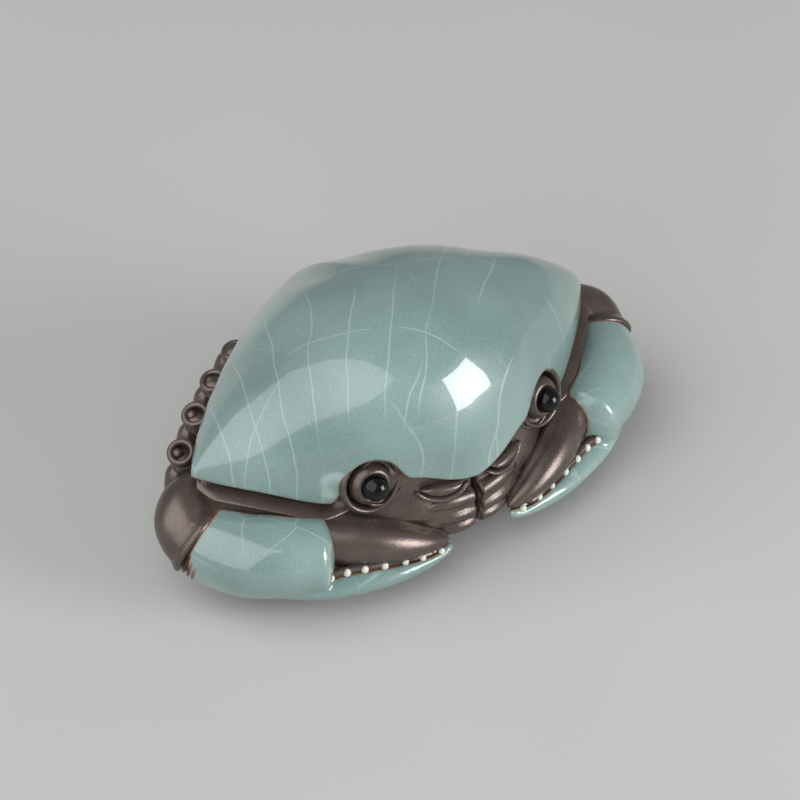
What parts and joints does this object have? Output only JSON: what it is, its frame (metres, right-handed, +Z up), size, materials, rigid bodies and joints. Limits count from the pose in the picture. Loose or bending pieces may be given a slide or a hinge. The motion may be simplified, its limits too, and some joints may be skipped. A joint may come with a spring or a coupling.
{
  "type": "crab figurine",
  "caption": "Small crab ornament in fired clay: a domed crackle-glazed shell and claws on a dark unglazed body, with bead eyes; it rests on its flat foot and leg tips.",
  "frame": {"origin": "on the table, under the middle of the figurine's box", "axes": "+X to the crab's own left, across its shell, -Y the way it faces, +Z up"},
  "size_m": [0.065, 0.038, 0.03],
  "materials": {
    "celadon_glaze": "clear glossy crackle glaze",
    "stoneware": "satin unglazed stoneware",
    "black_glaze": "gloss black glaze",
    "tooth_glaze": "pale gloss glaze"
  },
  "bodies": {
    "root": {"abdomen_flap": "stoneware", "belly_plate": "stoneware", "body": "stoneware", "carapace": "celadon_glaze", "left_antenna_plate": "stoneware", "left_claw_elbow": "stoneware", "left_claw_finger": "stoneware", "left_claw_palm": "celadon_glaze", "left_claw_teeth": "tooth_glaze", "left_claw_wrist": "stoneware", "left_eye_socket": "stoneware", "left_eyeball": "stoneware", "left_mouth_plate": "stoneware", "left_pupil": "black_glaze", "left_shin_1": "stoneware", "left_shin_2": "stoneware", "left_shin_3": "stoneware", "left_shin_4": "stoneware", "left_thigh_1": "stoneware", "left_thigh_2": "stoneware", "left_thigh_3": "stoneware", "left_thigh_4": "stoneware", "right_antenna_plate": "stoneware", "right_claw_elbow": "stoneware", "right_claw_finger": "stoneware", "right_claw_palm": "celadon_glaze", "right_claw_teeth": "tooth_glaze", "right_claw_wrist": "stoneware", "right_eye_socket": "stoneware", "right_eyeball": "stoneware", "right_mouth_plate": "stoneware", "right_pupil": "black_glaze", "right_shin_1": "stoneware", "right_shin_2": "stoneware", "right_shin_3": "stoneware", "right_shin_4": "stoneware", "right_thigh_1": "stoneware", "right_thigh_2": "stoneware", "right_thigh_3": "stoneware", "right_thigh_4": "stoneware"}
  },
  "joints": []
}
